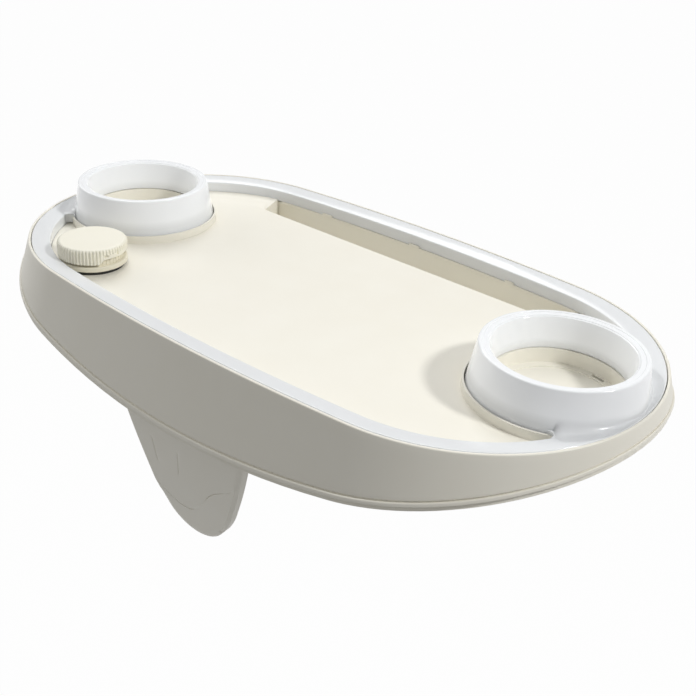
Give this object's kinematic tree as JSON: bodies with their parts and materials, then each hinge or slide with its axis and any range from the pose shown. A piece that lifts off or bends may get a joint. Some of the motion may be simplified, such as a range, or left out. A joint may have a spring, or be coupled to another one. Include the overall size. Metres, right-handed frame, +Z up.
{
  "type": "cup holder tray",
  "caption": "Oval lit tray with a raised cup ring at each end and a long phone slot, carried astride a tub's wall on two legs.",
  "frame": {"origin": "middle of the tray's underside, where the tub's wall carries it, midway between the two legs", "axes": "+X to the right along the tray, +Y to the back where the phone slot is, +Z up"},
  "size_m": [0.53, 0.3118, 0.1837],
  "materials": {
    "cream_shell": "fine satin",
    "cream_cap": "satin",
    "cream_fittings": "satin",
    "opal": "gloss, translucent",
    "steel": "plain",
    "seal": "matte",
    "dark_plastic": "matte",
    "contact_metal": "plated",
    "cell_can": "gloss",
    "strip": "matte",
    "led": "gloss",
    "board": "satin"
  },
  "bodies": {
    "tray": {"upper_shell": "cream_shell", "light_guide": "opal", "bottom_cover": "cream_shell", "front_leg": "cream_shell", "rear_leg": "cream_shell", "cover_screws": "steel", "front_leg_screws": "steel", "rear_leg_screws": "steel", "battery_case": "cream_fittings", "case_seal": "seal", "case_nut": "cream_fittings", "cap_seal": "seal", "cell_cage": "dark_plastic", "cage_contacts": "contact_metal", "cell_1": "cell_can", "cell_2": "cell_can", "cell_3": "cell_can", "led_strip": "strip", "band_leds": "led", "left_ring_strip": "strip", "right_ring_strip": "strip", "left_ring_leds": "led", "right_ring_leds": "led", "control_board": "board"},
    "cap": {"battery_cap": "cream_cap"}
  },
  "joints": [
    {"name": "cap_turn", "type": "hinge", "parent": "tray", "child": "cap", "pos_m": [-0.151, -0.0882, 0.06], "axis": [0, 0, 1], "range_deg": [0, 40]}
  ]
}
